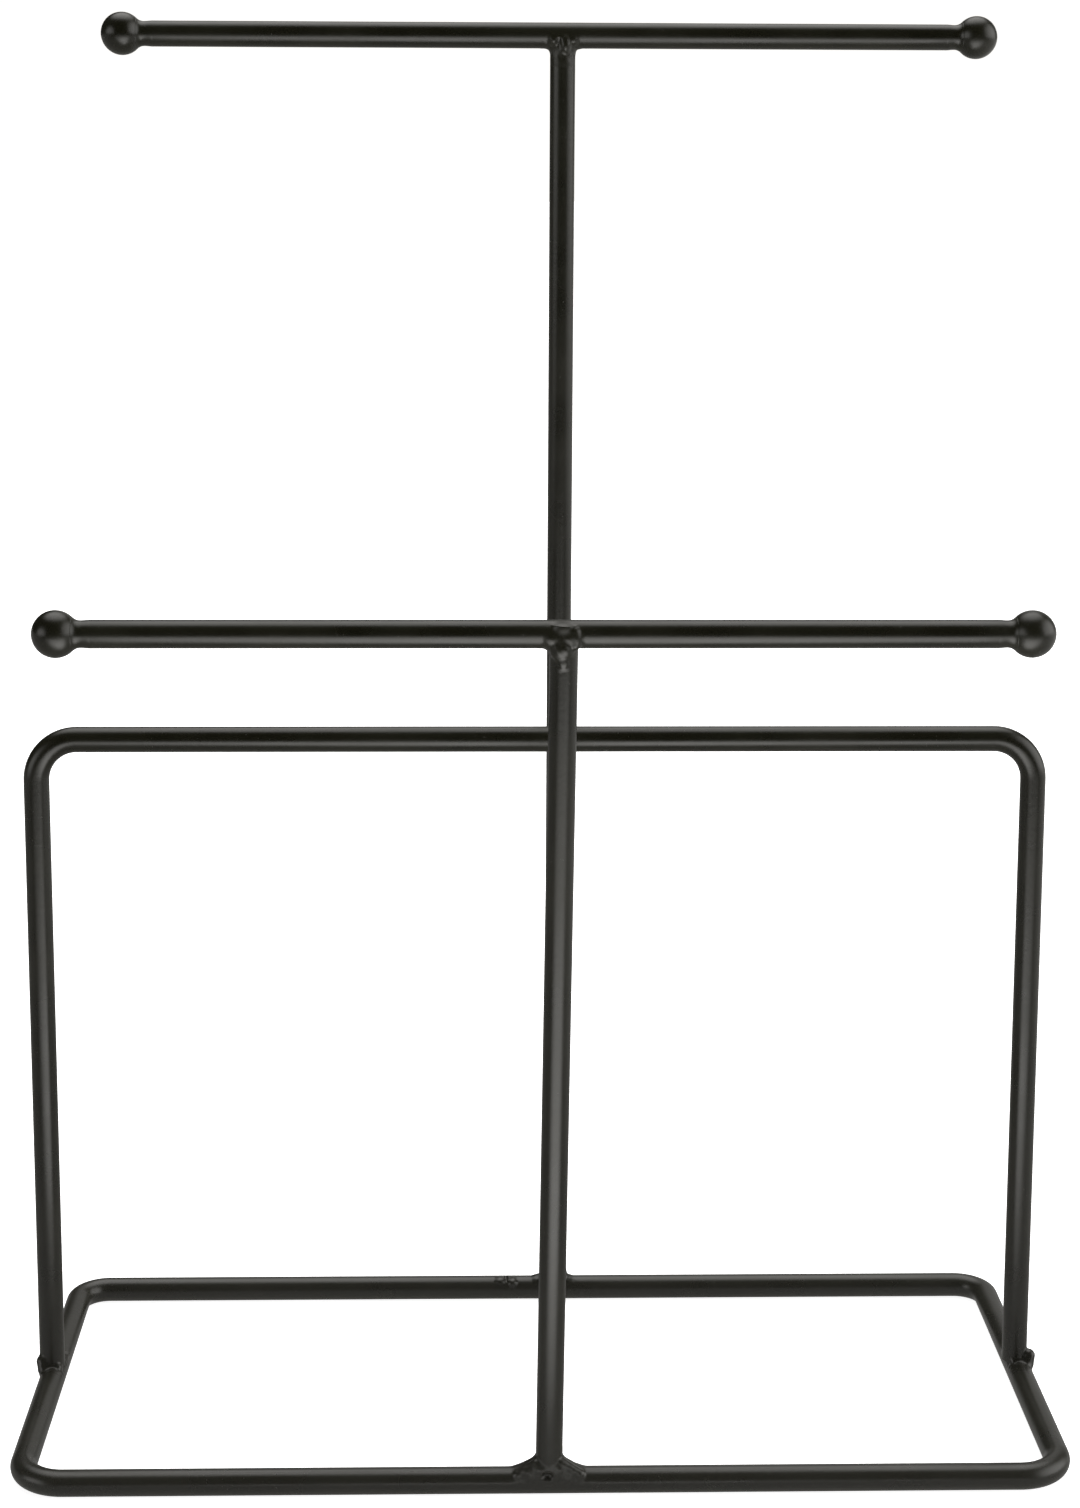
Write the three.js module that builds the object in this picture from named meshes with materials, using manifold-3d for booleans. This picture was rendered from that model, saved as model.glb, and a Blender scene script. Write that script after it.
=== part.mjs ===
// A tabletop valet stand of black powder-coated steel wire.
//
// One rectangular wire loop lies on the table. A hoop stands on its two short sides, half way back,
// and leans back a little. Two T-bars stand behind and in front of the hoop: a low one on the front
// rail and a tall one on the back rail. Each crossbar ends in a ball. Every joint is a weld.
//
// Millimetres, +X right, +Y from front to back, +Z up. The origin is on the table, under the middle
// of the base loop.
import * as THREE from "three";
import { mergeVertices } from "three/addons/utils/BufferGeometryUtils.js";
import Module from "manifold-3d";

const wasm = await Module();
wasm.setup();

// ---- Driving dimensions ----
const WIRE_DIAMETER = 6;
const BALL_DIAMETER = 10;
// Bend radii, to the wire's centre line: at the front and back corners of the loop, and in the hoop.
const FRONT_BEND_RADIUS = 10;
const BACK_BEND_RADIUS = 7.5;
const HOOP_BEND_RADIUS = 9.6;

const BASE_SPAN = 234.8; // between the centre lines of the two side rails
const BASE_DEPTH = 106.8; // between the centre lines of the front and back rails

const HOOP_SPAN = 234.2; // between the centre lines of the two legs
const HOOP_TOP_Z = 158.7; // centre line of the hoop's bar
const HOOP_FOOT_Y = 3.0; // where the feet stand on the side rails
const HOOP_TOP_Y = 11.1;
const HOOP_SHIFT_X = -0.6; // the hoop was welded a touch off centre

const BAR_SPAN = 203.4; // from ball centre to ball centre
const POST_LEAN = THREE.MathUtils.degToRad(0.75); // both posts lean outwards, away from the hoop

// The two T-bars, as they were welded: where the post stands, where its top is, and where the bar is.
const FRONT_T = { side: -1, footX: 1.2, topX: 3.4, barX: -0.4, barZ: 195.7 };
const BACK_T = { side: 1, footX: 5.6, topX: 6.0, barX: 3.1, barZ: 320.0 };

// ---- Fits and small details ----
const JOINT_GAP = 0.3; // between two pieces that meet
const NECK_LENGTH = 0.9; // from the ball's surface to the end of the bar, on the axis
const NECK_RADIUS = 2.6;
const NECK_WAIST = 0.25; // how far the neck is pulled in at its middle
const BUTT_WELD_X = -7.2; // the loop's two ends meet here, in the back rail
const BUTT_WELD_LENGTH = 1.8;
const BUTT_WELD_DIP = 0.15; // the bead lies this far under the wire's surface
const WELD_LIP = 0.6; // thickness of a weld where its slope meets a wire
const WELD_WRAP = 0.9; // how far a weld stands out across the wire it lies on
const WELD_SLOT = 1.4; // bare width left between the two beads of one joint

// ---- Mesh fineness ----
const WIRE_SIDES = 16; // a multiple of 4, so that a flat facet faces straight down
const BEND_STEPS = 8;
const BALL_SEGMENTS = 20;
const WELD_SEGMENTS = 24;
const SLOPE_STEPS = 4;

// ---- Worked out ----
const WIRE_RADIUS = WIRE_DIAMETER / 2;
const BALL_RADIUS = BALL_DIAMETER / 2;
const RAIL_Z = WIRE_RADIUS; // centre line of the rails, which lie on the table
const POST_FOOT_Z = WIRE_DIAMETER + JOINT_GAP; // the square-cut foot of a post, just over its rail
const RAIL_Y = BASE_DEPTH / 2;
const BAR_HALF_LENGTH = BAR_SPAN / 2 - BALL_RADIUS - NECK_LENGTH;
const RIGHT_ANGLE = Math.PI / 2;

const X_AXIS = new THREE.Vector3(1, 0, 0);
const Y_AXIS = new THREE.Vector3(0, 1, 0);
const Z_AXIS = new THREE.Vector3(0, 0, 1);

// The sizes of the weld beads at each kind of joint: reach along the crossed wire, and height up the
// wire that ends there.
const POST_FOOT_WELD = { reach: 4.6, height: 3.0 };
const BACK_FOOT_WELD = { reach: 3.0, height: 2.2 };
const FRONT_TEE_WELD = { reach: 1.8, height: 2.6 };
const BACK_TEE_WELD = { reach: 2.4, height: 2.4 };
const HOOP_FOOT_WELD = { reach: 2.6, height: 2.6 };

// ---- Materials ----
function coatedSteel() {
  return new THREE.MeshStandardMaterial({ color: 0x1b1a19, roughness: 0.42, metalness: 0.25 });
}

function coatedWeld() {
  return new THREE.MeshStandardMaterial({ color: 0x1e1d1b, roughness: 0.5, metalness: 0.25 });
}

// ---- Solids: joining and cutting ----
function toSolid(geometry) {
  const bare = geometry.clone();
  bare.deleteAttribute("normal");
  bare.deleteAttribute("uv");
  const merged = mergeVertices(bare, 1e-4);
  return new wasm.Manifold(
    new wasm.Mesh({
      numProp: 3,
      vertProperties: new Float32Array(merged.attributes.position.array),
      triVerts: new Uint32Array(merged.index.array),
    }),
  );
}

function toGeometry(solid) {
  const mesh = solid.getMesh();
  const geometry = new THREE.BufferGeometry();
  geometry.setAttribute("position", new THREE.BufferAttribute(mesh.vertProperties, 3));
  geometry.setIndex(new THREE.BufferAttribute(mesh.triVerts, 1));
  geometry.computeVertexNormals();
  return geometry;
}

// ---- Wire ----
// A path whose extrusion steps fall exactly on the given stations, so that straight runs take one
// step and bends take several.
class StationPath extends THREE.Curve {
  constructor(stations) {
    super();
    this.stations = stations;
  }

  stationAt(u) {
    return this.stations[Math.round(u * (this.stations.length - 1))];
  }

  getPointAt(u) {
    return this.stationAt(u).point.clone();
  }

  getTangentAt(u) {
    return this.stationAt(u).tangent.clone();
  }
}

// The wire's cross section: a polygon drawn round the true circle, with a flat facing each axis.
function wireSection(radius) {
  const section = new THREE.Shape();
  const cornerRadius = radius / Math.cos(Math.PI / WIRE_SIDES);
  for (let i = 0; i < WIRE_SIDES; i += 1) {
    const angle = ((i + 0.5) * 2 * Math.PI) / WIRE_SIDES;
    const corner = [cornerRadius * Math.cos(angle), cornerRadius * Math.sin(angle)];
    if (i === 0) {
      section.moveTo(...corner);
    } else {
      section.lineTo(...corner);
    }
  }
  section.closePath();
  return section;
}

// The stations of a wire that runs through the given corners and is bent round each inner one.
// bendRadii holds one radius for each inner corner, in order.
function bentStations(corners, bendRadii) {
  const stations = [];
  const direction = (from, to) => to.clone().sub(from).normalize();
  stations.push({ point: corners[0], tangent: direction(corners[0], corners[1]) });
  for (let i = 1; i < corners.length - 1; i += 1) {
    const before = direction(corners[i - 1], corners[i]);
    const after = direction(corners[i], corners[i + 1]);
    const bendRadius = bendRadii[i - 1];
    const toCentre = after.clone().sub(before).multiplyScalar(bendRadius);
    const centre = corners[i].clone().add(toCentre);
    for (let step = 0; step <= BEND_STEPS; step += 1) {
      const angle = (RIGHT_ANGLE * step) / BEND_STEPS;
      const point = centre
        .clone()
        .addScaledVector(after, -bendRadius * Math.cos(angle))
        .addScaledVector(before, bendRadius * Math.sin(angle));
      const tangent = before
        .clone()
        .multiplyScalar(Math.cos(angle))
        .addScaledVector(after, Math.sin(angle));
      stations.push({ point, tangent });
    }
  }
  const last = corners.length - 1;
  stations.push({ point: corners[last], tangent: direction(corners[last - 1], corners[last]) });
  return stations;
}

function bentWire(corners, bendRadii, radius = WIRE_RADIUS) {
  const stations = bentStations(corners, bendRadii);
  return new THREE.ExtrudeGeometry(wireSection(radius), {
    steps: stations.length - 1,
    extrudePath: new StationPath(stations),
  });
}

function straightWire(start, end, radius = WIRE_RADIUS) {
  return bentWire([start, end], [], radius);
}

// ---- Welds ----
// Half of a fillet weld where one wire (along local +Z) ends on another (along local X). The solid is
// a flared collar with a hollow slope, narrowed across the crossed wire and cut to clear both wires.
// side is +1 for the half towards +X and -1 for the other. The ending wire may stand a little beside
// the crossed wire's centre line (shift) and lean along it (lean, per unit of height).
function halfWeld({ reach, height }, side, { shift, lean }) {
  const footRadius = WIRE_RADIUS + reach;
  const topRadius = WIRE_RADIUS + WELD_LIP;
  const bottomZ = WIRE_RADIUS / 2;
  const slopeZ = WIRE_RADIUS + WELD_LIP;
  const topZ = WIRE_RADIUS + height;
  const slope = new THREE.QuadraticBezierCurve(
    new THREE.Vector2(footRadius, slopeZ),
    new THREE.Vector2(topRadius + reach / 6, slopeZ + height / 6),
    new THREE.Vector2(topRadius, topZ),
  );
  const profile = [
    new THREE.Vector2(0, bottomZ),
    new THREE.Vector2(footRadius, bottomZ),
    ...slope.getPoints(SLOPE_STEPS),
    new THREE.Vector2(0, topZ),
  ];
  const collar = new THREE.LatheGeometry(profile, WELD_SEGMENTS);
  collar.rotateX(RIGHT_ANGLE);
  collar.scale(1, (WIRE_RADIUS + WELD_WRAP) / footRadius, 1);

  const reachOut = 2 * footRadius;
  const endingBelow = new THREE.Vector3(-lean * reachOut, shift, -reachOut);
  const endingAbove = new THREE.Vector3(lean * reachOut, shift, reachOut);
  const endingWire = straightWire(endingBelow, endingAbove, WIRE_RADIUS + JOINT_GAP);
  const crossedLeft = new THREE.Vector3(-reachOut, 0, 0);
  const crossedRight = new THREE.Vector3(reachOut, 0, 0);
  const crossedWire = straightWire(crossedLeft, crossedRight, WIRE_RADIUS + JOINT_GAP);
  const keptHalf = new THREE.BoxGeometry(reachOut, reachOut, 2 * reachOut);
  keptHalf.translate((side * (reachOut + WELD_SLOT)) / 2, 0, 0);

  const halfCollar = toSolid(collar).intersect(toSolid(keptHalf));
  return toGeometry(halfCollar.subtract(toSolid(endingWire)).subtract(toSolid(crossedWire)));
}

// Turns a weld so that its crossed wire lies along `along` and its ending wire along `up`.
function orient(mesh, along, up) {
  const across = new THREE.Vector3().crossVectors(up, along);
  mesh.quaternion.setFromRotationMatrix(new THREE.Matrix4().makeBasis(along, across, up));
}

const group = new THREE.Group();

function addMesh(name, geometry, material) {
  const mesh = new THREE.Mesh(geometry, material);
  mesh.name = name;
  group.add(mesh);
  return mesh;
}

function addWeldPair(name, size, centre, along, up, sideNames, ending = { shift: 0, lean: 0 }) {
  const halves = [
    { sideName: sideNames[0], side: -1 },
    { sideName: sideNames[1], side: 1 },
  ];
  for (const { sideName, side } of halves) {
    const bead = addMesh(`${name}_${sideName}`, halfWeld(size, side, ending), coatedWeld());
    bead.position.copy(centre);
    orient(bead, along, up);
  }
}

// ---- The base: one wire bent into a rectangle, its two ends butt-welded in the back rail ----
function addBase() {
  const halfSpan = BASE_SPAN / 2;
  const leftEnd = BUTT_WELD_X - BUTT_WELD_LENGTH / 2 - JOINT_GAP;
  const rightEnd = BUTT_WELD_X + BUTT_WELD_LENGTH / 2 + JOINT_GAP;
  const corners = [
    [rightEnd, RAIL_Y],
    [halfSpan, RAIL_Y],
    [halfSpan, -RAIL_Y],
    [-halfSpan, -RAIL_Y],
    [-halfSpan, RAIL_Y],
    [leftEnd, RAIL_Y],
  ];
  const path = corners.map(([x, y]) => new THREE.Vector3(x, y, RAIL_Z));
  const bends = [BACK_BEND_RADIUS, FRONT_BEND_RADIUS, FRONT_BEND_RADIUS, BACK_BEND_RADIUS];
  addMesh("base_loop", bentWire(path, bends), coatedSteel());

  const beadRadius = WIRE_RADIUS - BUTT_WELD_DIP;
  const bead = new THREE.CylinderGeometry(beadRadius, beadRadius, BUTT_WELD_LENGTH, WELD_SEGMENTS);
  bead.rotateZ(RIGHT_ANGLE);
  addMesh("base_butt_weld", bead, coatedWeld()).position.set(BUTT_WELD_X, RAIL_Y, RAIL_Z);
}

// ---- The hoop: an upside-down U whose feet stand on the side rails ----
function addHoop() {
  const halfSpan = HOOP_SPAN / 2;
  const leanPerHeight = (HOOP_TOP_Y - HOOP_FOOT_Y) / (HOOP_TOP_Z - WIRE_DIAMETER);
  const footY = HOOP_FOOT_Y + leanPerHeight * JOINT_GAP;
  const path = [
    new THREE.Vector3(HOOP_SHIFT_X - halfSpan, footY, POST_FOOT_Z),
    new THREE.Vector3(HOOP_SHIFT_X - halfSpan, HOOP_TOP_Y, HOOP_TOP_Z),
    new THREE.Vector3(HOOP_SHIFT_X + halfSpan, HOOP_TOP_Y, HOOP_TOP_Z),
    new THREE.Vector3(HOOP_SHIFT_X + halfSpan, footY, POST_FOOT_Z),
  ];
  const bends = [HOOP_BEND_RADIUS, HOOP_BEND_RADIUS];
  addMesh("hoop", trimFeet(bentWire(path, bends)), coatedSteel());

  for (const [sideName, side] of [["left", -1], ["right", 1]]) {
    const railX = side * (BASE_SPAN / 2);
    const legX = HOOP_SHIFT_X + side * halfSpan;
    const centre = new THREE.Vector3(railX, HOOP_FOOT_Y - leanPerHeight * WIRE_RADIUS, RAIL_Z);
    const ending = { shift: railX - legX, lean: leanPerHeight };
    const name = `hoop_${sideName}_foot_weld`;
    addWeldPair(name, HOOP_FOOT_WELD, centre, Y_AXIS, Z_AXIS, ["front", "back"], ending);
  }
}

// The leaning legs are cut level, so that each foot stands flat over its rail.
function trimFeet(hoopGeometry) {
  const belowFeet = new THREE.BoxGeometry(2 * BASE_SPAN, 2 * BASE_DEPTH, WIRE_DIAMETER);
  belowFeet.translate(0, 0, POST_FOOT_Z - WIRE_DIAMETER / 2);
  return toGeometry(toSolid(hoopGeometry).subtract(toSolid(belowFeet)));
}

// ---- The T-bars ----
function addTee(name, tee, footWeld, teeWeld) {
  const footY = tee.side * RAIL_Y;
  const barY = footY + tee.side * Math.tan(POST_LEAN) * (tee.barZ - RAIL_Z);
  const bar = new THREE.Vector3(tee.barX, barY, tee.barZ);
  const foot = new THREE.Vector3(tee.footX, footY, POST_FOOT_Z);
  const top = new THREE.Vector3(tee.topX, barY, tee.barZ - WIRE_RADIUS - JOINT_GAP);
  addMesh(`${name}_post`, straightWire(foot, top), coatedSteel());

  const footCentre = new THREE.Vector3(tee.footX, footY, RAIL_Z);
  addWeldPair(`${name}_foot_weld`, footWeld, footCentre, X_AXIS, Z_AXIS, ["left", "right"]);
  const down = Z_AXIS.clone().negate();
  const teeCentre = new THREE.Vector3(tee.topX, barY, tee.barZ);
  addWeldPair(`${name}_tee_weld`, teeWeld, teeCentre, X_AXIS, down, ["left", "right"]);
  addCrossbar(name, bar);
}

// One crossbar with its two balls and the weld necks between bar and ball.
function addCrossbar(name, centre) {
  const reach = new THREE.Vector3(BAR_HALF_LENGTH, 0, 0);
  const ends = [centre.clone().sub(reach), centre.clone().add(reach)];
  addMesh(`${name}_crossbar`, straightWire(...ends), coatedSteel());
  for (const [sideName, side] of [["left", -1], ["right", 1]]) {
    const ballCentre = centre.clone().add(new THREE.Vector3((side * BAR_SPAN) / 2, 0, 0));
    const ball = new THREE.SphereGeometry(BALL_RADIUS, BALL_SEGMENTS, BALL_SEGMENTS / 2);
    ball.rotateX(RIGHT_ANGLE);
    addMesh(`${name}_ball_${sideName}`, ball, coatedSteel()).position.copy(ballCentre);
    const neck = addMesh(`${name}_ball_weld_${sideName}`, ballNeck(), coatedWeld());
    neck.position.copy(ballCentre);
    neck.rotation.z = side * RIGHT_ANGLE;
  }
}

// The waisted neck between a ball and its bar, turned about local Y with the ball's centre at the
// origin and the bar towards +Y. Its ball end is hollowed to the ball's curve.
function ballNeck() {
  const hollowRadius = BALL_RADIUS + JOINT_GAP;
  const barEnd = BALL_RADIUS + NECK_LENGTH - JOINT_GAP;
  const rimAngle = Math.asin(NECK_RADIUS / hollowRadius);
  const profile = [];
  for (let step = 0; step <= SLOPE_STEPS; step += 1) {
    const angle = (rimAngle * step) / SLOPE_STEPS;
    profile.push(new THREE.Vector2(hollowRadius * Math.sin(angle), hollowRadius * Math.cos(angle)));
  }
  const rimY = hollowRadius * Math.cos(rimAngle);
  profile.push(new THREE.Vector2(NECK_RADIUS - NECK_WAIST, (rimY + barEnd) / 2));
  profile.push(new THREE.Vector2(NECK_RADIUS, barEnd));
  profile.push(new THREE.Vector2(0, barEnd));
  return new THREE.LatheGeometry(profile, WELD_SEGMENTS);
}

addBase();
addHoop();
addTee("front", FRONT_T, POST_FOOT_WELD, FRONT_TEE_WELD);
addTee("back", BACK_T, BACK_FOOT_WELD, BACK_TEE_WELD);

export default group;
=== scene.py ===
import math

import bpy
import numpy as np
from mathutils import Matrix, Vector


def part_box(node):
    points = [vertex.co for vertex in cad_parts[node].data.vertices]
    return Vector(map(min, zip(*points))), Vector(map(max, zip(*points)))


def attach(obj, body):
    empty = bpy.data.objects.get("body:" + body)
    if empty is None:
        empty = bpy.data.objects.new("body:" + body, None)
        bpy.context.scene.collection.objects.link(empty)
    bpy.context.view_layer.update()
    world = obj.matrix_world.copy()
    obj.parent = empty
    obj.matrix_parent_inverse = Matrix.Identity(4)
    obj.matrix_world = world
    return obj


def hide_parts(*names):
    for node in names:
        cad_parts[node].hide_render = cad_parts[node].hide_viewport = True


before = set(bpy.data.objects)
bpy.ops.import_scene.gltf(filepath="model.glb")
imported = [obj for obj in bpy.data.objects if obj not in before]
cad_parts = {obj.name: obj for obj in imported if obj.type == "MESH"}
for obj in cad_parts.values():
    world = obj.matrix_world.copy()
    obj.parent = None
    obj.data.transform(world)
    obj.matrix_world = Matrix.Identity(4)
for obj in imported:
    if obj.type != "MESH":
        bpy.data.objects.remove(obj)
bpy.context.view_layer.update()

MM = 0.001
TINY = 1e-9  # keeps a divisor off zero

# ---- Camera: where the stand was looked at from, in millimetres and degrees ----
CAMERA_PLACE = (-15.6, -628.3, 298.1)
CAMERA_YAW = 1.41
CAMERA_PITCH = 12.6
CAMERA_ROLL = 0.24
CAMERA_LENS = 66.67
CAMERA_SENSOR = 36.0
CAMERA_CLIP = (0.01, 50.0)  # in metres

# ---- Wires, balls and necks: details that the CAD boxes don't hold, in millimetres and degrees ----
FRONT_BEND_RADIUS = 10.0
BACK_BEND_RADIUS = 7.5
HOOP_BEND_RADIUS = 9.6
CUT_ROUNDING = 0.35
BAR_CUT_BACK = 1.0  # a crossbar's wire ends this far inside its CAD box, under the neck
SEAM_ROOM = 0.1  # between the base loop's ends and the box of the weld that joins them
SEAM_LAP = 0.9  # how far that weld's skin goes past its box
NECK_LEAVE_ANGLE = 46.0  # where a neck leaves its ball, seen from the ball's centre
NECK_WAIST = 0.12  # how far a neck is pulled in under the wire's surface
NECK_WAIST_BEFORE_BAR = 0.6
NECK_RISE_PAST_BAR = 1.4
NECK_TAIL = 1.5
NECK_ROOT = (0.6, 0.3)  # how deep a neck's hidden start lies in the ball: along and across

# ---- Weld skins, in millimetres ----
SKIN_PROUD = 0.006  # above the wire, at the weld
SKIN_SINK = 0.08  # below the wire's surface, where the skin ends
STUB_FADE = 2.6  # length over which the skin sinks
SKIN_MARGIN = 2.6  # room for beads around a wire
SKIN_AIR = 1.0  # empty room past the skin's ends
RIPPLE_HEIGHT = 0.05
RIPPLE_WAVES = (  # turn per millimetre of x, y and z, and starting turn, in radians
    (2.3, 1.7, 0.0, 0.6),
    (-1.1, 0.0, 2.1, 2.0),
    (0.0, 1.9, 0.4, 0.0),
)
RIPPLE_FADE = (0.45, 0.9)  # shares of the skin's reach
RIPPLE_RISE = (-1.0, 1.0)  # heights over which the ripple comes in

# ---- Mesh fineness ----
SECTION_SIDES = 64
BEND_STEPS = 28
CUT_STEPS = 6
STRAIGHT_STEP = 6.0
BALL_STEPS = 48
NECK_SLOPE_STEPS = 16
NECK_RISE_STEPS = 12
SKIN_CELL = 0.2
SETTLE_ROUNDS = 6
SETTLE_PROBE = 0.05  # share of a cell over which the slope is measured
SLOPE_FLOOR = 0.05  # keeps a vertex from leaping where the field is flat
STEEP = 0.9  # a wire that points this far up takes its section's first direction from X

# ---- Coat: colours, noise scales in turns per metre, and heights in metres ----
COAT_DARK = (0.0050, 0.0048, 0.0020, 1)
COAT_LIGHT = (0.0078, 0.0075, 0.0036, 1)
COAT_CLOUD = (0.35, 0.68)  # cloud values at which the coat is darkest and lightest
DUST_COLOUR = (0.024, 0.023, 0.019, 1)
# painted light: the coat is drawn lighter near the table, as if lit by the white table under it
PAINTED_TABLE_LIGHT_COLOUR = (0.024, 0.0235, 0.020, 1)
PAINTED_TABLE_LIGHT_HEIGHT = 0.08  # the painted light from the table on the coat fades out this high up
PAINTED_TABLE_LIGHT_SHARE = 0.5
CLOUD_SCALE = 60.0
PEEL_SCALE = 850.0
SPECK_SCALE = 1500.0
GRAIN_SCALE = 2600.0
SPECK_CUT = (0.74, 0.80)  # noise values between which a dust speck appears
SPECK_ROUGHNESS = 0.12
ROUGHNESS = (0.24, 0.34)
ROUGHNESS_CLOUD = (0.3, 0.7)
PEEL_STRENGTH = 0.35
PEEL_DEPTH = 0.00006
GRAIN_SHARE = 0.18

# ---- Studio, in metres; the soft boxes light the wires, and the mirrored floor shows in them ----
FLOOR_HALF_SIZE = 12.0
FLOOR_DROP = 0.00005  # the floor lies this far under the stand
MIRROR_DROP = 0.0001  # and the mirrored one this far under the floor
FLOOR_COLOUR = (0.8, 0.8, 0.8, 1)
FLOOR_ROUGHNESS = 0.9
FLOOR_GLOW = 0.92
POOL_FROM_Y = 0.054  # the pool of light lies in front of the front rail
POOL_REACH = 0.56
POOL_FALLOFF = 3.0
POOL_STRENGTH = 3.6
POOL_RISE = (0.03, 0.12)  # distances in front over which it brightens
POOL_WEDGE = (0.35, 1.25)  # slopes to the side over which it fades
POOL_SHIFT = 0.1
POOL_NEAREST = 0.001  # keeps the wedge's slope finite at the stand
MIRROR_FLOOR = 0.3
MIRROR_FLOOR_RIGHT = 0.7
MIRROR_FLOOR_TURN = (0.05, 0.5)  # from the left strength to the right one, along x
BACKDROP_RADIUS = 11.5
BACKDROP_HEIGHTS = (-0.5, 5.0)
BACKDROP_SIDES = 96
BACKDROP_GLOW = 1.05
LAMP_SIZE = (1.6, 1.2)
LAMP_WATTS = 30.0
LAMP_PLACE = (0.2, 0.3, 1.9)
LIGHT_TINT = (1.0, 0.985, 0.96, 1)
WORLD_BASE = 0.03
# (azimuth from the camera's side, positive to the right; elevation; half-width; strength)
SOFT_BOXES = (
    (180, 70, 40, 2.5),
    (82, 14, 47, 2.3),
    (-64, 5, 30, 1.7),
    (165, 10, 32, 0.45),
)


# ---- Sizes from the frame ----
def box_mm(node):
    """Lowest and highest corner of a CAD node, in millimetres."""
    low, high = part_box(node)
    return np.array(low) / MM, np.array(high) / MM


BASE_LOW, BASE_HIGH = box_mm("base_loop")
WIRE_RADIUS = (BASE_HIGH[2] - BASE_LOW[2]) / 2
RAIL_Z = BASE_LOW[2] + WIRE_RADIUS
RAIL_X = BASE_HIGH[0] - WIRE_RADIUS
RAIL_Y = BASE_HIGH[1] - WIRE_RADIUS
WIRE_TOP = RAIL_Z + WIRE_RADIUS
X_AXIS, Y_AXIS, Z_AXIS = np.eye(3)


def hoop_corners():
    """Left foot, both shoulders and right foot, on the wire's centre line."""
    low, high = box_mm("hoop")
    foot_y, top_y = low[1] + WIRE_RADIUS, high[1] - WIRE_RADIUS
    left, right = low[0] + WIRE_RADIUS, high[0] - WIRE_RADIUS
    top_z = high[2] - WIRE_RADIUS
    return [
        np.array([left, foot_y, WIRE_TOP]),
        np.array([left, top_y, top_z]),
        np.array([right, top_y, top_z]),
        np.array([right, foot_y, WIRE_TOP]),
    ]


def post_line(name, side):
    """Foot and top of a T-bar's post; side is -1 for the front one and 1 for the back one."""
    low, high = box_mm(f"{name}_post")
    foot_y = side * RAIL_Y
    top_y = high[1] - WIRE_RADIUS if side > 0 else low[1] + WIRE_RADIUS
    foot = np.array([low[0] + WIRE_RADIUS, foot_y, WIRE_TOP])
    top = np.array([high[0] - WIRE_RADIUS, top_y, bar_centre(name)[2] - WIRE_RADIUS])
    return foot, top


def bar_centre(name):
    """Middle of a T-bar's crossbar."""
    low, high = box_mm(f"{name}_crossbar")
    return (low + high) / 2


# ---- Mesh building ----
def make_object(name, vertices_mm, faces, material):
    """A smooth-shaded mesh object in metres, from vertices in millimetres."""
    mesh = bpy.data.meshes.new(name)
    mesh.from_pydata((np.asarray(vertices_mm) * MM).tolist(), [], faces)
    mesh.validate()
    mesh.update()
    mesh.shade_smooth()
    piece = bpy.data.objects.new(name, mesh)
    bpy.context.scene.collection.objects.link(piece)
    mesh.materials.append(material)
    return piece


def unit(vector):
    return vector / np.linalg.norm(vector)


def smoothstep(low, high, value):
    t = np.clip((value - low) / (high - low), 0.0, 1.0)
    return t * t * (3.0 - 2.0 * t)


def bent_path(corners, bend_radii):
    """Points and tangents of a wire through the corners; each inner one has its bend radius."""
    points, tangents = [], []

    def run(start, end):
        count = max(2, int(np.linalg.norm(end - start) / STRAIGHT_STEP))
        for step in range(count):
            points.append(start + (end - start) * step / count)
            tangents.append(unit(end - start))

    start = corners[0]
    for before, corner, after, bend in zip(corners, corners[1:], corners[2:], bend_radii):
        coming, going = unit(corner - before), unit(after - corner)
        run(start, corner - coming * bend)
        centre = corner + (going - coming) * bend
        for step in range(BEND_STEPS):
            angle = math.pi / 2 * step / BEND_STEPS
            points.append(centre + bend * (coming * math.sin(angle) - going * math.cos(angle)))
            tangents.append(coming * math.cos(angle) + going * math.sin(angle))
        start = corner + going * bend
    run(start, corners[-1])
    points.append(corners[-1])
    tangents.append(unit(corners[-1] - corners[-2]))
    return np.array(points), np.array(tangents)


def wire(name, corners, material, bend_radii=()):
    """A round wire swept through the corners, with rounded cut ends."""
    points, tangents = bent_path(corners, bend_radii)
    rings = cut_end(points[0], tangents[0], tangents[0])
    rings += [(point, tangent, WIRE_RADIUS) for point, tangent in zip(points[1:-1], tangents[1:-1])]
    rings += cut_end(points[-1], tangents[-1], -tangents[-1])[::-1]
    return sweep(name, rings, material)


def cut_end(point, tangent, inward):
    """Rings of a rounded cut, from its middle out to the full wire."""
    rings = [(point, tangent, 0.0)]
    for step in range(CUT_STEPS + 1):
        angle = math.pi / 2 * step / CUT_STEPS
        inset = CUT_ROUNDING * (1 - math.cos(angle))
        radius = WIRE_RADIUS - CUT_ROUNDING * (1 - math.sin(angle))
        rings.append((point + inward * inset, tangent, radius))
    return rings


def sweep(name, rings, material):
    """Joins rings of (centre, direction, radius) into a closed tube; the end rings are single points."""
    reference = Z_AXIS if abs(rings[0][1][2]) < STEEP else X_AXIS
    normal = unit(np.cross(np.cross(rings[0][1], reference), rings[0][1]))
    vertices = [rings[0][0]]
    turns = np.arange(SECTION_SIDES) * 2 * math.pi / SECTION_SIDES
    for centre, tangent, radius in rings[1:-1]:
        normal = unit(normal - tangent * normal.dot(tangent))
        across = np.cross(tangent, normal)
        circle = np.outer(np.cos(turns), normal) + np.outer(np.sin(turns), across)
        vertices.extend(centre + radius * circle)
    vertices.append(rings[-1][0])
    return make_object(name, vertices, tube_faces(len(rings) - 2, SECTION_SIDES), material)


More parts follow.
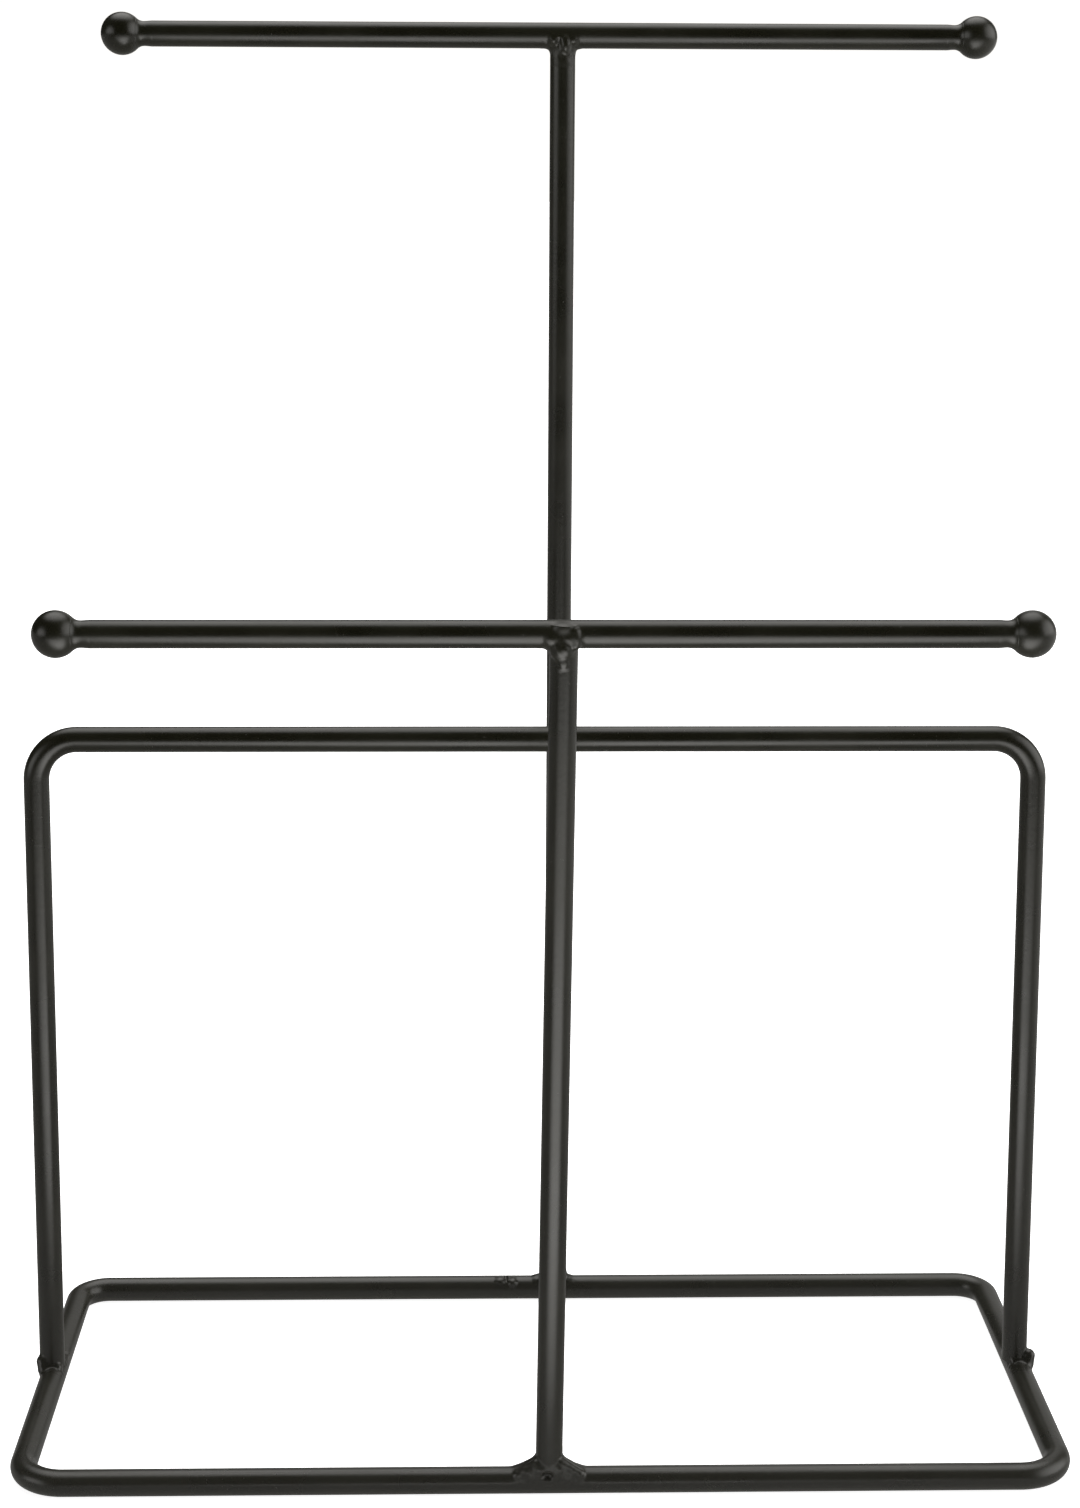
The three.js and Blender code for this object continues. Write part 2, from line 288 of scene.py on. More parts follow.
def tube_faces(ring_count, sides):
    """Faces of a tube whose first and last vertices are the middles of its two end caps."""
    faces = []
    last = 1 + ring_count * sides
    for side in range(sides):
        following = (side + 1) % sides
        faces.append((0, 1 + following, 1 + side))
        for ring in range(ring_count - 1):
            low, high = 1 + ring * sides, 1 + (ring + 1) * sides
            faces.append((low + side, low + following, high + following, high + side))
        base = 1 + (ring_count - 1) * sides
        faces.append((base + side, base + following, last))
    return faces


def turned(name, profile, centre, axis, material):
    """A solid of revolution: profile is (distance along axis, radius), and its ends lie on the axis."""
    rings = [(centre + axis * along, axis, radius) for along, radius in profile]
    return sweep(name, rings, material)


# ---- Weld skins: distance fields and the surface through them ----
def rod_distance(points, start, direction):
    """Distance to an endless line, and how far along it each point lies."""
    offset = points - start
    along = offset @ direction
    return np.linalg.norm(offset - np.outer(along, direction), axis=1), along


def blend(first, second, width):
    """Smooth union of two distance fields."""
    mix = np.clip(0.5 + 0.5 * (second - first) / width, 0.0, 1.0)
    return second * (1 - mix) + first * mix - width * mix * (1 - mix)


def bead_distance(points, start, end, radius, wide):
    """A capsule from start to end, stretched across the joint (y) by the factor wide."""
    squeeze = np.array([1.0, 1.0 / wide, 1.0])
    p, a, b = points * squeeze, start * squeeze, end * squeeze
    line = b - a
    t = np.clip((p - a) @ line / max(line @ line, TINY), 0.0, 1.0)
    return np.linalg.norm(p - a - np.outer(t, line), axis=1) - radius


def blob_distance(points, centre, radii):
    """Distance to an ellipsoid, close to it."""
    offset = points - centre
    scaled = np.linalg.norm(offset / radii, axis=1)
    slope = np.linalg.norm(offset / radii**2, axis=1)
    return scaled * (scaled - 1.0) / np.maximum(slope, TINY)


def surface_nets(field, low, high, cell):
    """Vertices and quads of the surface where the field is zero, inside a box."""
    axes = [np.arange(low[i], high[i] + cell, cell) for i in range(3)]
    grid = np.stack(np.meshgrid(*axes, indexing="ij"), axis=-1)
    inside = (field(grid.reshape(-1, 3)) < 0).reshape(grid.shape[:3])
    count = np.zeros(np.array(inside.shape) - 1, int)
    for i in (0, 1):
        for j in (0, 1):
            for k in (0, 1):
                nx, ny, nz = count.shape
                count += inside[i:i + nx, j:j + ny, k:k + nz]
    cells = np.argwhere((count > 0) & (count < 8))
    index = np.full(count.shape, -1)
    index[tuple(cells.T)] = np.arange(len(cells))
    vertices = np.array(low) + (cells + 0.5) * cell
    faces = []
    for axis in range(3):
        ahead = np.roll(inside, -1, axis)
        change = inside != ahead
        spots = np.argwhere(change)
        keep = (spots[:, axis] < inside.shape[axis] - 1)
        u, v = (axis + 1) % 3, (axis + 2) % 3
        keep &= (spots[:, u] > 0) & (spots[:, v] > 0)
        keep &= (spots[:, u] < count.shape[u]) & (spots[:, v] < count.shape[v])
        for spot in spots[keep]:
            corners = []
            for du, dv in ((-1, -1), (0, -1), (0, 0), (-1, 0)):
                place = spot.copy()
                place[u] += du
                place[v] += dv
                corners.append(int(index[tuple(place)]))
            faces.append(corners if inside[tuple(spot)] else corners[::-1])
    return vertices, faces


def settle(field, vertices, cell):
    """Moves each vertex along the field's slope until it lies on the surface."""
    tiny = cell * SETTLE_PROBE
    for _ in range(SETTLE_ROUNDS):
        value = field(vertices)
        slope = np.stack(
            [field(vertices + tiny * axis) - field(vertices - tiny * axis) for axis in np.eye(3)], axis=1
        ) / (2 * tiny)
        size = np.maximum((slope * slope).sum(axis=1), SLOPE_FLOOR)
        vertices = vertices - slope * np.clip(value / size, -cell, cell)[:, None]
    return vertices


def stub_radius(along, reach):
    """Radius of a wire stub: just proud of the wire at the weld, sinking under it further out."""
    sink = smoothstep(reach, reach + STUB_FADE, np.abs(along))
    return WIRE_RADIUS + SKIN_PROUD - (SKIN_PROUD + SKIN_SINK) * sink


class Joint:
    """A welded joint, where one wire ends on another that it crosses, or where a wire's ends meet.

    Local coordinates: x along the crossed wire, z away from it up the ending wire, y across both,
    and the origin on the crossed wire's centre line. The ending wire is given by its start and its
    direction; a butt weld has none. Reach is how far the skin goes along the crossed wire, height how
    far up the ending one, and root how softly the two merge. Beads, blobs and dents are given
    in millimetres, and merge is how softly each one joins what is there.
    """

    def __init__(self, centre, along, up, reach, ending=None, height=0.0, root=0.5):
        self.centre = centre
        self.axes = np.array([along, np.cross(up, along), up])
        self.ending = None
        if ending is not None:
            start, direction = ending
            self.ending = self.axes @ (start - centre), self.axes @ direction
        self.reach = reach
        self.height = height
        self.root = root
        self.beads = []
        self.blobs = []
        self.dents = []

    def bead(self, start, end, radius, merge=1.2, wide=1.0):
        """Lays a capsule of weld metal; wide stretches it across the joint."""
        self.beads.append((np.array(start, float), np.array(end, float), radius, merge, wide))

    def blob(self, centre, radii, merge=0.4):
        """Sets a rounded drop of metal on the joint."""
        self.blobs.append((np.array(centre, float), np.array(radii, float), merge))

    def dent(self, centre, radii, merge=0.4):
        """Sinks a rounded pit into the joint."""
        self.dents.append((np.array(centre, float), np.array(radii, float), merge))

    def field(self, points):
        """Distance field of the whole joint: the crossed wire, the ending one, and the weld metal."""
        distance, along = rod_distance(points, np.zeros(3), X_AXIS)
        crossed = distance - stub_radius(along, self.reach)
        crossed = np.maximum(crossed, np.abs(along) - self.reach - STUB_FADE)
        joint = crossed if self.ending is None else blend(crossed, self.ending_field(points), self.root)
        for start, end, radius, merge, wide in self.beads:
            joint = blend(joint, bead_distance(points, start, end, radius, wide), merge)
        for centre, radii, merge in self.dents:
            joint = -blend(-joint, blob_distance(points, centre, radii), merge)
        for centre, radii, merge in self.blobs:
            joint = blend(joint, blob_distance(points, centre, radii), merge)
        return joint - ripple(points, self.reach)

    def ending_field(self, points):
        """Distance field of the ending wire's stub."""
        distance, along = rod_distance(points, *self.ending)
        ending = distance - stub_radius(along, self.height)
        ending = np.maximum(ending, along - self.height - STUB_FADE)
        return np.maximum(ending, -along)

    def piece(self, name, material):
        """The joint's skin as a mesh object, in the stand's place."""
        wide = self.reach + STUB_FADE + SKIN_AIR
        side = WIRE_RADIUS + SKIN_MARGIN
        tall = side
        if self.ending is not None:
            tall = max(side, self.height + self.ending[0][2] + STUB_FADE + SKIN_AIR)
        low, high = np.array([-wide, -side, -side]), np.array([wide, side, tall])
        vertices, faces = surface_nets(self.field, low, high, SKIN_CELL)
        vertices = settle(self.field, vertices, SKIN_CELL)
        return make_object(name, self.centre + vertices @ self.axes, faces, material)


def ripple(points, reach):
    """Fine unevenness of weld metal under its coat, fading out along the wires."""
    x, y, z = points.T
    wave = 1.0
    for turn_x, turn_y, turn_z, start in RIPPLE_WAVES:
        wave = wave * np.sin(turn_x * x + turn_y * y + turn_z * z + start)
    near, far = (share * reach for share in RIPPLE_FADE)
    fade = 1 - smoothstep(near, far, np.linalg.norm(points, axis=1) - WIRE_RADIUS)
    return RIPPLE_HEIGHT * wave * fade * smoothstep(*RIPPLE_RISE, z)


# ---- Materials ----
class Nodes:
    """Adds nodes and links to a node tree, a line at a time."""

    def __init__(self, tree):
        self.tree = tree
        tree.nodes.clear()

    def add(self, kind, inputs=None, **settings):
        node = self.tree.nodes.new(kind)
        for name, value in settings.items():
            setattr(node, name, value)
        for socket, value in (inputs or {}).items():
            if isinstance(value, bpy.types.NodeSocket):
                self.tree.links.new(value, node.inputs[socket])
            else:
                node.inputs[socket].default_value = value
        return node

    def math(self, operation, *values):
        return self.add("ShaderNodeMath", dict(enumerate(values)), operation=operation).outputs[0]

    def noise(self, vector, scale, detail):
        inputs = {"Vector": vector, "Scale": scale, "Detail": detail}
        return self.add("ShaderNodeTexNoise", inputs).outputs["Fac"]

    def remap(self, value, from_low, from_high, to_low, to_high):
        inputs = {
            "Value": value, "From Min": from_low, "From Max": from_high, "To Min": to_low, "To Max": to_high,
        }
        return self.add("ShaderNodeMapRange", inputs).outputs["Result"]

    def mix(self, share, first, second):
        inputs = {"Factor": share, "A": first, "B": second}
        mixer = self.add("ShaderNodeMix", inputs, data_type="RGBA")
        return next(out for out in mixer.outputs if out.type == "RGBA" and out.enabled)


def coat_material(name):
    """Satin black powder coat: fine orange peel, faint cloudiness, dust specks, and painted light from the
    table that makes it lighter near the bottom.
    """
    material = bpy.data.materials.new(name)
    material.use_nodes = True
    nodes = Nodes(material.node_tree)
    place = nodes.add("ShaderNodeTexCoord").outputs["Object"]
    cloud = nodes.noise(place, CLOUD_SCALE, detail=3.0)
    specks = nodes.remap(nodes.noise(place, SPECK_SCALE, detail=1.0), *SPECK_CUT, 0.0, 1.0)
    rough = nodes.remap(cloud, *ROUGHNESS_CLOUD, *ROUGHNESS)
    shader = nodes.add(
        "ShaderNodeBsdfPrincipled",
        {
            "Base Color": coat_colour(nodes, place, cloud, specks),
            "Roughness": nodes.math("MULTIPLY_ADD", specks, SPECK_ROUGHNESS, rough),
            "Normal": orange_peel(nodes, place),
        },
    )
    nodes.add("ShaderNodeOutputMaterial", {"Surface": shader.outputs["BSDF"]})
    return material


def coat_colour(nodes, place, cloud, specks):
    """Clouded black, lighter in the dust specks, and lighter near the table as painted light from it."""
    tint = nodes.add("ShaderNodeValToRGB", {"Fac": cloud})
    stops = zip(tint.color_ramp.elements, COAT_CLOUD, (COAT_DARK, COAT_LIGHT))
    for stop, position, colour in stops:
        stop.position = position
        stop.color = colour
    dusty = nodes.mix(specks, tint.outputs["Color"], DUST_COLOUR)
    height = nodes.add("ShaderNodeSeparateXYZ", {0: place}).outputs["Z"]
    # painted light from the table: the coat is lighter near the bottom, fading out with height
    painted_table_light_mask = nodes.remap(height, 0.0, PAINTED_TABLE_LIGHT_HEIGHT, PAINTED_TABLE_LIGHT_SHARE, 0.0)
    return nodes.mix(painted_table_light_mask, dusty, PAINTED_TABLE_LIGHT_COLOUR)


def orange_peel(nodes, place):
    """The coat's fine unevenness, as a bent normal."""
    peel = nodes.noise(place, PEEL_SCALE, detail=2.0)
    grain = nodes.noise(place, GRAIN_SCALE, detail=2.0)
    relief = nodes.math("MULTIPLY_ADD", grain, GRAIN_SHARE, peel)
    inputs = {"Strength": PEEL_STRENGTH, "Distance": PEEL_DEPTH, "Height": relief}
    return nodes.add("ShaderNodeBump", inputs).outputs["Normal"]


def emission_material(name, strength_of):
    """A light-giving material; strength_of makes the strength from the nodes and the place."""
    material = bpy.data.materials.new(name)
    material.use_nodes = True
    nodes = Nodes(material.node_tree)
    place = nodes.add("ShaderNodeTexCoord").outputs["Object"]
    inputs = {"Color": LIGHT_TINT, "Strength": strength_of(nodes, place)}
    glow = nodes.add("ShaderNodeEmission", inputs)
    nodes.add("ShaderNodeOutputMaterial", {"Surface": glow.outputs[0]})
    return material


def floor_material():
    """Pale studio table, which also glows so that it comes out white."""
    material = bpy.data.materials.new("studio_floor")
    material.use_nodes = True
    nodes = Nodes(material.node_tree)
    shader = nodes.add(
        "ShaderNodeBsdfPrincipled",
        {
            "Base Color": FLOOR_COLOUR,
            "Roughness": FLOOR_ROUGHNESS,
            "Emission Color": (1, 1, 1, 1),
            "Emission Strength": FLOOR_GLOW,
        },
    )
    nodes.add("ShaderNodeOutputMaterial", {"Surface": shader.outputs["BSDF"]})
    return material


def mirrored_floor_strength(nodes, place):
    """How bright the table looks in the wires: a broad pool in front, dim close to the stand and far off."""
    split = nodes.add("ShaderNodeSeparateXYZ", {0: place})
    x, y = split.outputs["X"], split.outputs["Y"]
    in_front = nodes.math("SUBTRACT", -POOL_FROM_Y, y)
    ahead = nodes.math("MAXIMUM", in_front, POOL_NEAREST)
    falloff = nodes.math("POWER", nodes.math("DIVIDE", ahead, POOL_REACH), POOL_FALLOFF)
    fade = nodes.math("DIVIDE", 1.0, nodes.math("ADD", falloff, 1.0))
    rise = nodes.remap(ahead, *POOL_RISE, 0.0, 1.0)
    off_side = nodes.math("ABSOLUTE", nodes.math("SUBTRACT", nodes.math("DIVIDE", x, ahead), POOL_SHIFT))
    wedge = nodes.remap(off_side, *POOL_WEDGE, POOL_STRENGTH, 0.0)
    pool = nodes.math("MULTIPLY", rise, wedge)
    near = nodes.remap(x, *MIRROR_FLOOR_TURN, MIRROR_FLOOR, MIRROR_FLOOR_RIGHT)
    return nodes.math("MULTIPLY", nodes.math("ADD", pool, near), fade)


COAT = coat_material("powder_coat")
WELD_COAT = coat_material("powder_coat_on_weld")


# ---- Pieces ----
def keep(piece, slot, *nodes):
    """Ties a piece to the stand's one body and hides the CAD nodes it stands for; slot is not used."""
    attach(piece, "root")
    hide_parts(*nodes)


def add_base():
    """The loop starts and ends at the seam in the back rail, and goes round clockwise from above."""
    low, high = box_mm("base_butt_weld")
    corners = [
        np.array([high[0] + SEAM_ROOM, RAIL_Y, RAIL_Z]),
        np.array([RAIL_X, RAIL_Y, RAIL_Z]),
        np.array([RAIL_X, -RAIL_Y, RAIL_Z]),
        np.array([-RAIL_X, -RAIL_Y, RAIL_Z]),
        np.array([-RAIL_X, RAIL_Y, RAIL_Z]),
        np.array([low[0] - SEAM_ROOM, RAIL_Y, RAIL_Z]),
    ]
    bends = (BACK_BEND_RADIUS, FRONT_BEND_RADIUS, FRONT_BEND_RADIUS, BACK_BEND_RADIUS)
    keep(wire("base_loop_wire", corners, COAT, bends), "coated_steel", "base_loop")
    add_butt_weld((low + high) / 2, high[0] - low[0])


def add_butt_weld(centre, width):
    """The loop's two ends run together in a shallow seam, forked on top, with a drop on each side."""
    joint = Joint(centre, X_AXIS, Z_AXIS, reach=width / 2 + SEAM_LAP)
    joint.dent((0.0, -1.5, 3.2), (0.6, 2.6, 1.0), merge=0.3)
    joint.blob((-1.5, -1.2, 2.15), (1.3, 1.3, 0.9), merge=0.8)
    joint.blob((1.8, -1.5, 2.0), (1.1, 1.3, 0.9), merge=0.8)
    keep(joint.piece("base_butt_bead", WELD_COAT), "coated_weld", "base_butt_weld")


def add_hoop():
    """The upside-down U and its two feet."""
    corners = hoop_corners()
    bends = (HOOP_BEND_RADIUS, HOOP_BEND_RADIUS)
    keep(wire("hoop_wire", corners, COAT, bends), "coated_steel", "hoop")
    add_hoop_foot("left", -1, corners[0], corners[1])
    add_hoop_foot("right", 1, corners[3], corners[2])


def add_hoop_foot(name, side, foot, shoulder):
    """The lump of weld lies on the outer side of each foot, and a smaller one behind and inside it."""
    rail = np.array([side * RAIL_X, foot[1], RAIL_Z])
    leg = (foot - Z_AXIS * 0.7, unit(shoulder - foot))
    joint = Joint(rail, Y_AXIS, Z_AXIS, reach=5.5, ending=leg, height=5.7, root=0.35)
    outward = -side
    # In front: the big outer lump, and a thin bead right across.
    joint.bead((-2.3, outward * 1.9, 2.1), (-1.5, outward * 2.3, 3.9), 1.6, merge=0.8)
    joint.bead((-2.4, -1.4, 2.7), (-2.4, 1.4, 2.7), 0.9, merge=0.8)
    # Behind: a fillet, and a small bead on the rail's inner side.
    joint.bead((2.4, 0, 3.4), (4.2, 0, 2.2), 1.4, wide=1.4)
    joint.bead((4.6, -outward * 1.8, 2.2), (6.4, -outward * 2.1, 1.9), 0.9, merge=0.6)
    skin = joint.piece(f"hoop_{name}_foot_weld", WELD_COAT)
    keep(skin, "coated_weld", f"hoop_{name}_foot_weld_front", f"hoop_{name}_foot_weld_back")


def foot_joint(foot, top, sunk, reach, height):
    """A post's foot, whose skin starts sunk in the rail."""
    rail = np.array([foot[0], foot[1], RAIL_Z])
    start = foot - Z_AXIS * sunk
    return Joint(rail, X_AXIS, Z_AXIS, reach, (start, unit(top - start)), height)


def add_front_foot_weld(foot, top):
    """Two long webs, each with a ridge along its upper edge, and a pit between them."""
    joint = foot_joint(foot, top, sunk=2.6, reach=8.0, height=7.0)
    # The left and right webs.
    joint.bead((-2.4, 0, 3.95), (-6.3, 0, 1.75), 1.75, wide=1.3)
    joint.bead((2.4, 0, 3.95), (6.1, 0, 1.65), 1.75, wide=1.3)
    # Metal across the front, low and high.
    joint.bead((-3.8, -1.3, 1.6), (3.8, -1.3, 1.6), 1.8, merge=1.0)
    joint.bead((-2.3, -1.4, 3.2), (2.3, -1.4, 3.2), 1.7, merge=1.0)
    # The ridges, with a lump on the left one.
    joint.bead((2.9, -1.6, 4.9), (6.9, -1.9, 2.3), 1.0, merge=0.7)
    joint.bead((-2.9, -1.6, 4.7), (-6.9, -1.8, 2.1), 0.9, merge=0.7)
    joint.blob((-4.6, -1.9, 2.9), (1.3, 1.0, 1.0), merge=0.8)
    joint.dent((-0.4, -3.5, 2.4), (1.3, 1.2, 1.0), merge=0.5)
    skin = joint.piece("front_foot_weld", WELD_COAT)
    keep(skin, "coated_weld", "front_foot_weld_left", "front_foot_weld_right")


def add_back_foot_weld(foot, top):
    """Two small fillets, the left one longer."""
    joint = foot_joint(foot, top, sunk=2.0, reach=5.0, height=4.6)
    joint.bead((-2.2, 0, 3.1), (-4.4, 0, 1.9), 1.3, wide=1.4)
    joint.bead((2.0, 0, 2.9), (3.2, 0, 2.1), 1.1, wide=1.4)
    skin = joint.piece("back_foot_weld", WELD_COAT)
    keep(skin, "coated_weld", "back_foot_weld_left", "back_foot_weld_right")


def add_front_tee_weld(foot, top, bar):
    """The post's end shows as a tube across the bar's front, with a bulge and a drip of metal on it."""
    centre = np.array([top[0], bar[1], bar[2]])
    height = 9.0
    below = centre + unit(foot - top) * height
    start = centre + np.array([0.0, -0.4, 2.2])
    tube = (start, unit(below - start))
    joint = Joint(centre, X_AXIS, -Z_AXIS, reach=4.6, ending=tube, height=height, root=0.4)
    # Fillets at the left, across the front, behind, and up the tube's right side.
    joint.bead((-2.2, 0, 2.3), (-3.2, 0, 1.2), 1.8, merge=0.7, wide=1.3)
    joint.bead((-2.7, 1.7, 0.7), (2.3, 1.7, 0.7), 1.75, merge=0.8)
    joint.bead((-1.7, -1.9, 2.6), (1.7, -1.9, 2.6), 1.3, merge=0.8)
    joint.bead((2.2, 2.4, -0.8), (2.3, 2.5, 1.9), 1.0, merge=0.6)
    # The bulge, the top of the tube, and the drip.
    joint.blob((-0.5, 2.1, 2.9), (2.5, 1.8, 2.7), merge=0.5)
    joint.blob((-0.4, 2.0, -1.3), (2.0, 1.1, 1.1), merge=1.0)
    joint.blob((-0.2, 2.7, 5.7), (1.0, 0.7, 1.1), merge=0.6)
    skin = joint.piece("front_tee_weld", WELD_COAT)
    keep(skin, "coated_weld", "front_tee_weld_left", "front_tee_weld_right")


def add_back_tee_weld(foot, top, bar):
    """Two small fillets and a bead across the front, with a pit and a lump in it."""
    centre = np.array([top[0], bar[1], bar[2]])
    down = unit(foot - top)
    joint = Joint(centre, X_AXIS, -Z_AXIS, reach=5.0, ending=(centre + down, down), height=5.0)
    joint.bead((-2.2, 0, 2.5), (-2.9, 0, 1.8), 1.3, merge=1.0, wide=1.4)
    joint.bead((2.2, 0, 2.5), (2.9, 0, 1.8), 1.3, merge=1.0, wide=1.4)
    joint.bead((-2.2, 1.9, 1.0), (2.4, 1.9, 1.0), 1.5, merge=0.5)
    joint.dent((-1.0, 3.6, 1.9), (0.9, 0.8, 1.5), merge=0.4)
    joint.blob((0.6, 2.4, 2.2), (1.3, 1.5, 2.3), merge=0.5)
    skin = joint.piece("back_tee_weld", WELD_COAT)
    keep(skin, "coated_weld", "back_tee_weld_left", "back_tee_weld_right")


def add_tee(name, side, foot_weld, tee_weld):
    """One T-bar with its welds and balls; side is -1 for the front one."""
    foot, top = post_line(name, side)
    bar = bar_centre(name)
    keep(wire(f"{name}_post_wire", [foot, top], COAT), "coated_steel", f"{name}_post")
    low, high = box_mm(f"{name}_crossbar")
    ends = [np.array([low[0], bar[1], bar[2]]), np.array([high[0], bar[1], bar[2]])]
    cut = X_AXIS * BAR_CUT_BACK
    bar_wire = wire(f"{name}_crossbar_wire", [ends[0] + cut, ends[1] - cut], COAT)
    keep(bar_wire, "coated_steel", f"{name}_crossbar")
    foot_weld(foot, top)
    tee_weld(foot, top, bar)
    for side_name, out in (("left", -1), ("right", 1)):
        add_ball(name, side_name, out, ends[0] if out < 0 else ends[1])


def add_ball(name, side_name, out, bar_end):
    """The ball at one end of a bar, and its neck; out is the direction away from the post."""
    low, high = box_mm(f"{name}_ball_{side_name}")
    centre, radius = (low + high) / 2, (high[2] - low[2]) / 2
    axis = X_AXIS * out
    profile = []
    for step in range(BALL_STEPS + 1):
        angle = math.pi * step / BALL_STEPS
        profile.append((-radius * math.cos(angle), radius * math.sin(angle)))
    profile[0], profile[-1] = (-radius, 0.0), (radius, 0.0)
    ball = turned(f"{name}_ball_{side_name}_end", profile, centre, axis, COAT)
    keep(ball, "coated_steel", f"{name}_ball_{side_name}")
    add_neck(name, side_name, centre, radius, -axis, np.linalg.norm(bar_end - centre))


def add_neck(name, side_name, ball_centre, ball_radius, axis, bar_start):
    """The weld between a ball and its bar: a waisted cone that leaves the ball along its surface."""
    leave = ball_radius + SKIN_PROUD
    leave_angle = math.radians(NECK_LEAVE_ANGLE)
    leave_at, leave_radius = leave * math.cos(leave_angle), leave * math.sin(leave_angle)
    waist_at, waist = bar_start - NECK_WAIST_BEFORE_BAR, WIRE_RADIUS - NECK_WAIST
    end = bar_start + NECK_RISE_PAST_BAR
    root_at, root_radius = leave_at - NECK_ROOT[0], leave_radius - NECK_ROOT[1]
    profile = [(root_at, 0.0), (root_at, root_radius)]
    span = waist_at - leave_at
    slope = -span / math.tan(leave_angle)
    for step in range(NECK_SLOPE_STEPS + 1):
        t = step / NECK_SLOPE_STEPS
        radius = (2 * t**3 - 3 * t**2 + 1) * leave_radius + (t**3 - 2 * t**2 + t) * slope
        radius += (3 * t**2 - 2 * t**3) * waist
        profile.append((leave_at + span * t, radius))
    rise = WIRE_RADIUS + SKIN_PROUD - waist
    for step in range(1, NECK_RISE_STEPS + 1):
        t = step / NECK_RISE_STEPS
        profile.append((waist_at + (end - waist_at) * t, waist + rise * smoothstep(0, 1, t)))
    tail = end + NECK_TAIL
    profile += [(tail, WIRE_RADIUS - SKIN_SINK), (tail, 0.0)]
    neck = turned(f"{name}_ball_neck_{side_name}", profile, ball_centre, axis, WELD_COAT)
    keep(neck, "coated_weld", f"{name}_ball_weld_{side_name}")


# ---- Studio ----
def add_sheet(name, z, material):
    """A level square of the floor's size."""
    mesh = bpy.data.meshes.new(name)
    size = FLOOR_HALF_SIZE
    corners = [(size * x, size * y, z) for x, y in ((-1, -1), (1, -1), (1, 1), (-1, 1))]
    mesh.from_pydata(corners, [], [(0, 1, 2, 3)])
    mesh.materials.append(material)
    return place_stage(name, mesh)


def place_stage(name, mesh):
    sheet = bpy.data.objects.new(name, mesh)
    bpy.context.scene.collection.objects.link(sheet)
    return sheet


def only_seen_by(sheet, camera=False, glossy=False):
    """Hides a sheet from every kind of ray but the one named."""
    sheet.visible_camera = camera
    sheet.visible_glossy = glossy
    sheet.visible_diffuse = False
    sheet.visible_transmission = False
    sheet.visible_volume_scatter = False
    sheet.visible_shadow = False


def add_floor():
    """The table that the eye sees, and the one that the wires mirror, with the studio's light on it."""
    z = BASE_LOW[2] * MM - FLOOR_DROP
    floor = add_sheet("studio_floor", z, floor_material())
    floor.visible_glossy = False
    glow = emission_material("mirrored_floor", mirrored_floor_strength)
    only_seen_by(add_sheet("mirrored_floor", z - MIRROR_DROP, glow), glossy=True)


def add_backdrop():
    """A white ring at the horizon, behind the floor's edge."""
    sides = BACKDROP_SIDES
    turns = [math.tau * side / sides for side in range(sides)]
    ring = [(BACKDROP_RADIUS * math.cos(turn), BACKDROP_RADIUS * math.sin(turn)) for turn in turns]
    vertices = [(x, y, z) for z in BACKDROP_HEIGHTS for x, y in ring]
    faces = [(side, (side + 1) % sides, (side + 1) % sides + sides, side + sides) for side in range(sides)]
    mesh = bpy.data.meshes.new("backdrop")
    mesh.from_pydata(vertices, [], faces)
    mesh.materials.append(emission_material("backdrop", lambda nodes, place: BACKDROP_GLOW))
    only_seen_by(place_stage("backdrop", mesh), camera=True)


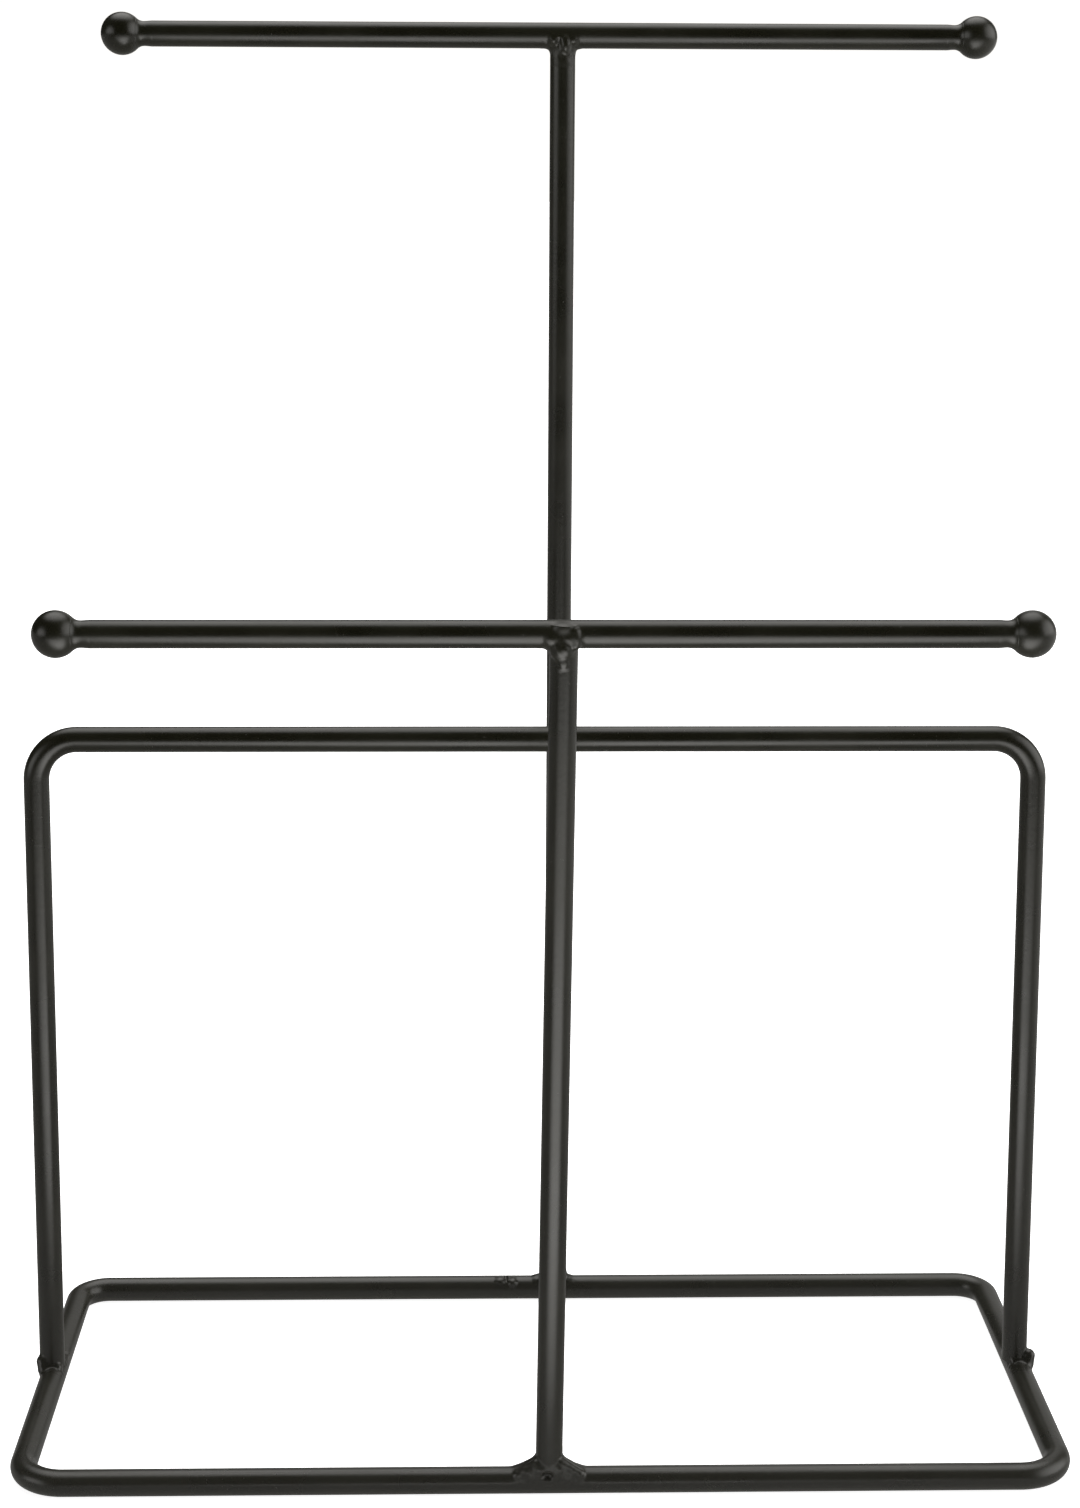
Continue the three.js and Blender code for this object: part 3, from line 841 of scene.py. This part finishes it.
def add_world():
    """A soft studio of a few wide boxes of light in a dim room."""
    world = bpy.data.worlds.new("studio")
    bpy.context.scene.world = world
    world.use_nodes = True
    nodes = Nodes(world.node_tree)
    direction = nodes.add("ShaderNodeTexCoord").outputs["Generated"]
    total = WORLD_BASE
    for azimuth, elevation, spread, strength in SOFT_BOXES:
        a, e = math.radians(azimuth), math.radians(elevation)
        towards = (math.sin(a) * math.cos(e), -math.cos(a) * math.cos(e), math.sin(e))
        facing = nodes.add("ShaderNodeVectorMath", {0: direction, 1: towards}, operation="DOT_PRODUCT")
        edge = math.cos(math.radians(spread))
        inputs = {"Value": facing.outputs["Value"], "From Min": edge, "From Max": 1.0, "To Max": strength}
        glow = nodes.add("ShaderNodeMapRange", inputs, interpolation_type="SMOOTHSTEP").outputs["Result"]
        total = nodes.math("ADD", glow, total)
    studio = nodes.add("ShaderNodeBackground", {"Color": LIGHT_TINT, "Strength": total})
    nodes.add("ShaderNodeOutputWorld", {"Surface": studio.outputs[0]})


def add_key_light():
    """A lamp above the stand that lights it without showing in it."""
    light = bpy.data.lights.new("overhead", "AREA")
    light.shape = "RECTANGLE"
    light.size, light.size_y = LAMP_SIZE
    light.energy = LAMP_WATTS
    lamp = bpy.data.objects.new("overhead", light)
    lamp.location = LAMP_PLACE
    lamp.visible_camera = False
    lamp.visible_glossy = False
    bpy.context.scene.collection.objects.link(lamp)


def add_camera():
    """Yaw turns to the right, pitch turns down, and roll raises the right side."""
    yaw, pitch, roll = (math.radians(a) for a in (CAMERA_YAW, CAMERA_PITCH, CAMERA_ROLL))
    forward = Vector((math.sin(yaw) * math.cos(pitch), math.cos(yaw) * math.cos(pitch), -math.sin(pitch)))
    level = Vector((math.cos(yaw), -math.sin(yaw), 0.0))
    upright = level.cross(forward)
    right = level * math.cos(roll) + upright * math.sin(roll)
    up = upright * math.cos(roll) - level * math.sin(roll)
    data = bpy.data.cameras.new("camera")
    data.lens = CAMERA_LENS
    data.sensor_width = CAMERA_SENSOR
    data.clip_start, data.clip_end = CAMERA_CLIP
    camera = bpy.data.objects.new("camera", data)
    camera.matrix_world = Matrix(
        (
            (right.x, up.x, -forward.x, CAMERA_PLACE[0] * MM),
            (right.y, up.y, -forward.y, CAMERA_PLACE[1] * MM),
            (right.z, up.z, -forward.z, CAMERA_PLACE[2] * MM),
            (0, 0, 0, 1),
        )
    )
    bpy.context.scene.collection.objects.link(camera)
    bpy.context.scene.camera = camera


add_base()
add_hoop()
add_tee("front", -1, add_front_foot_weld, add_front_tee_weld)
add_tee("back", 1, add_back_foot_weld, add_back_tee_weld)
add_floor()
add_backdrop()
add_world()
add_key_light()
add_camera()
bpy.context.scene.view_settings.view_transform = "Standard"
